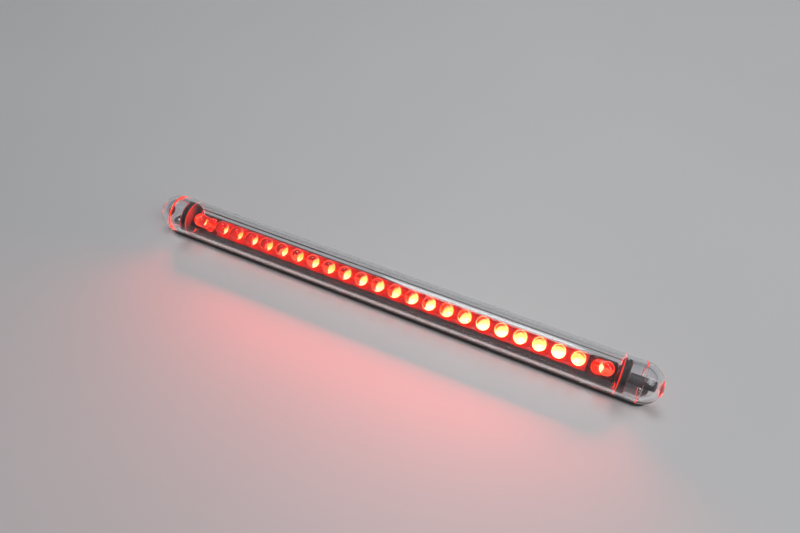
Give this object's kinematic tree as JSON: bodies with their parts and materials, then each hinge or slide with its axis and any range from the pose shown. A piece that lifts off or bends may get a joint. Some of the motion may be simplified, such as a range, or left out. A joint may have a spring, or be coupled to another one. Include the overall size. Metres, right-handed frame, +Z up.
{
  "type": "third brake light",
  "caption": "Slim sealed bar of red LEDs in a clear round tube with domed ends, on a thin adhesive base, with a cable gland at one end.",
  "frame": {"origin": "middle of the underside of the adhesive tape, on the surface that the lamp is stuck to", "axes": "+X along the bar towards the cable end, -Y the front that the LEDs lean towards, +Z up from the mounting surface"},
  "size_m": [0.2059, 0.015, 0.0162],
  "materials": {
    "clear_tube": "clear polished acrylic tube",
    "clear_cap": "clear moulded polycarbonate",
    "black_rubber": "matt black rubber",
    "gland_rubber": "satin black rubber",
    "base_plastic": "fine-grained black plastic",
    "tape_foam": "dark foam tape",
    "board_laminate": "black solder mask on laminate",
    "carrier_plastic": "red moulded plastic",
    "red_epoxy": "red clear epoxy",
    "lead_metal": "tin-plated steel",
    "lit_die": "glowing chip",
    "solder": "bright solder",
    "resistor_ceramic": "black glazed ceramic",
    "diode_epoxy": "moulded black epoxy"
  },
  "bodies": {
    "root": {"lens_tube": "clear_tube", "left_end_cap": "clear_cap", "right_end_cap": "clear_cap", "left_seal": "black_rubber", "right_seal": "black_rubber", "cable_gland": "gland_rubber", "blanking_plug": "gland_rubber", "mounting_base": "base_plastic", "adhesive_tape": "tape_foam", "circuit_board": "board_laminate", "led_carrier": "carrier_plastic", "led_01": "red_epoxy", "led_02": "red_epoxy", "led_03": "red_epoxy", "led_04": "red_epoxy", "led_05": "red_epoxy", "led_06": "red_epoxy", "led_07": "red_epoxy", "led_08": "red_epoxy", "led_09": "red_epoxy", "led_10": "red_epoxy", "led_11": "red_epoxy", "led_12": "red_epoxy", "led_13": "red_epoxy", "led_14": "red_epoxy", "led_15": "red_epoxy", "led_16": "red_epoxy", "led_17": "red_epoxy", "led_18": "red_epoxy", "led_19": "red_epoxy", "led_20": "red_epoxy", "led_21": "red_epoxy", "led_22": "red_epoxy", "led_23": "red_epoxy", "led_24": "red_epoxy", "led_cathode_leads": "lead_metal", "led_anode_leads": "lead_metal", "led_dies": "lit_die", "solder_joints": "solder", "resistor_1": "resistor_ceramic", "resistor_2": "resistor_ceramic", "resistor_3": "resistor_ceramic", "resistor_4": "resistor_ceramic", "resistor_5": "resistor_ceramic", "resistor_6": "resistor_ceramic", "resistor_7": "resistor_ceramic", "resistor_8": "resistor_ceramic", "resistor_end_caps": "solder", "polarity_diode": "diode_epoxy", "diode_tabs": "lead_metal", "positive_terminal": "solder", "negative_terminal": "solder"}
  },
  "joints": []
}
